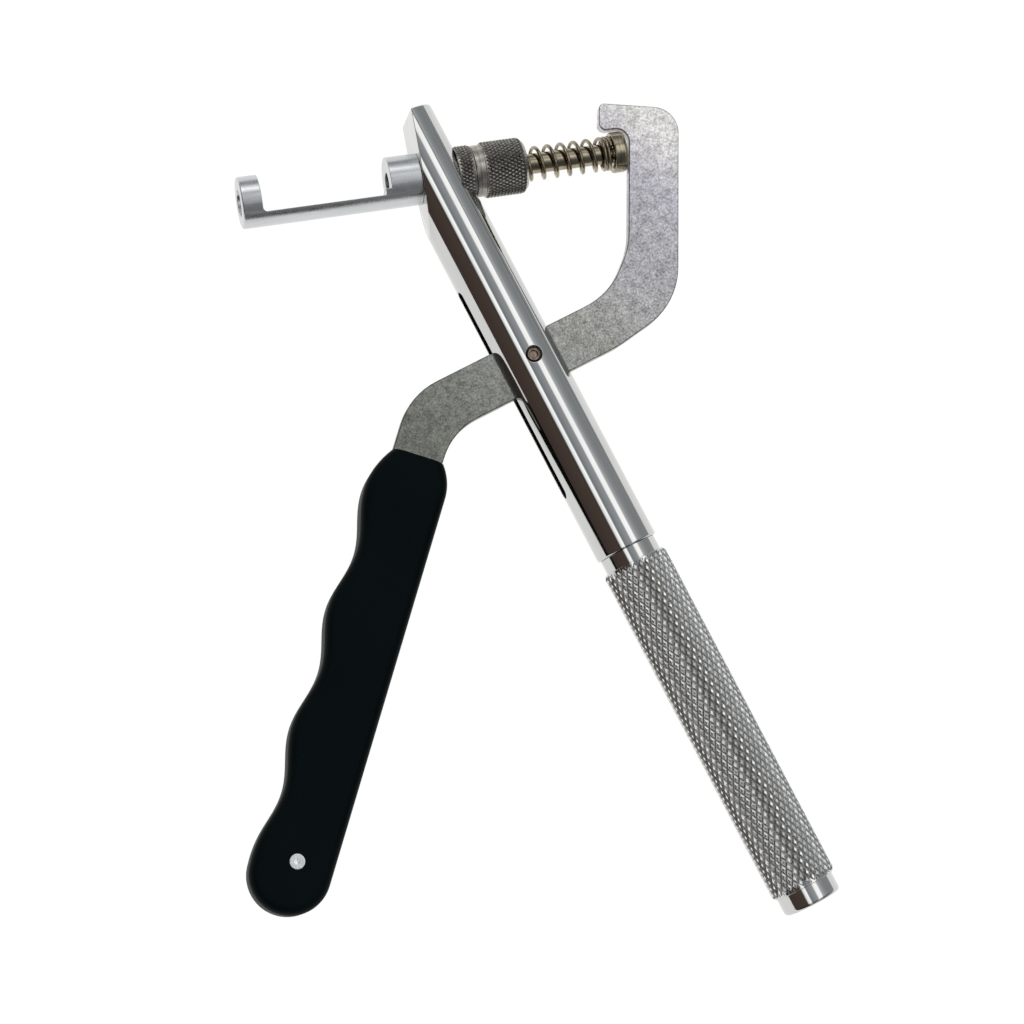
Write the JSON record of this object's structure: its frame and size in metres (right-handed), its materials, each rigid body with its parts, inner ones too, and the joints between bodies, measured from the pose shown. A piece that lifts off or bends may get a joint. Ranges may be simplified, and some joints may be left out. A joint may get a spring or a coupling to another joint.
{
  "type": "bracelet pin press pliers",
  "caption": "Hand pliers with a slanted round bar, a sprung plunger on a cross axis and a cranked lever that drives it across a gap towards a drilled anvil.",
  "frame": {"origin": "on the punch axis, at the outer face of the anvil, centre of the stepped bore that lets the pushed-out pin leave", "axes": "+X along the punch axis towards the plunger head, +Y towards the bar's free end, +Z square to the lever plate; the tool lies flat"},
  "size_m": [0.1152, 0.1738, 0.0136],
  "materials": {
    "polished_chrome": "polished",
    "satin_chrome_knurl": "satin, diamond knurled",
    "satin_steel": "satin",
    "dark_knurled_steel": "knurled",
    "nickel": "bright",
    "spring_wire": "drawn wire",
    "pin_steel": "turned",
    "tumbled_steel": "mottled, tumbled",
    "black_sleeve": "fine matte moulding",
    "rivet_steel": "bright"
  },
  "bodies": {
    "bar": {"main_bar": "polished_chrome", "grip": "satin_chrome_knurl", "anvil_guide": "satin_steel", "pivot_pin": "pin_steel", "return_spring": "spring_wire"},
    "lever": {"lever": "tumbled_steel", "handle_sleeve": "black_sleeve", "handle_rivet": "rivet_steel"},
    "plunger": {"plunger_rod": "nickel", "plunger_head": "nickel", "punch_pin": "nickel"},
    "lock_ring": {"lock_ring": "dark_knurled_steel"},
    "adjusting_knob": {"adjusting_knob": "dark_knurled_steel"}
  },
  "joints": [
    {"name": "lever_swing", "type": "hinge", "parent": "bar", "child": "lever", "pos_m": [0.05223, -0.04064, 0], "axis": [0, 0, 1], "range_deg": [0, 14]},
    {"name": "plunger_slide", "type": "slide", "parent": "bar", "child": "plunger", "axis": [-1, 0, 0], "range_m": [0, 0.0101], "stiffness_N_per_m": 1600, "springref_m": -0.001, "deforming": ["return_spring"]},
    {"name": "lock_ring_turn", "type": "hinge", "parent": "bar", "child": "lock_ring", "pos_m": [0.0446, 0, 0], "axis": [1, 0, 0], "continuous": true},
    {"name": "knob_turn", "type": "hinge", "parent": "bar", "child": "adjusting_knob", "pos_m": [0.0489, 0, 0], "axis": [1, 0, 0], "continuous": true}
  ],
  "couplings": [
    {"joint": "plunger_slide", "follows": "lever_swing", "m_per_rad": 0.04125}
  ]
}
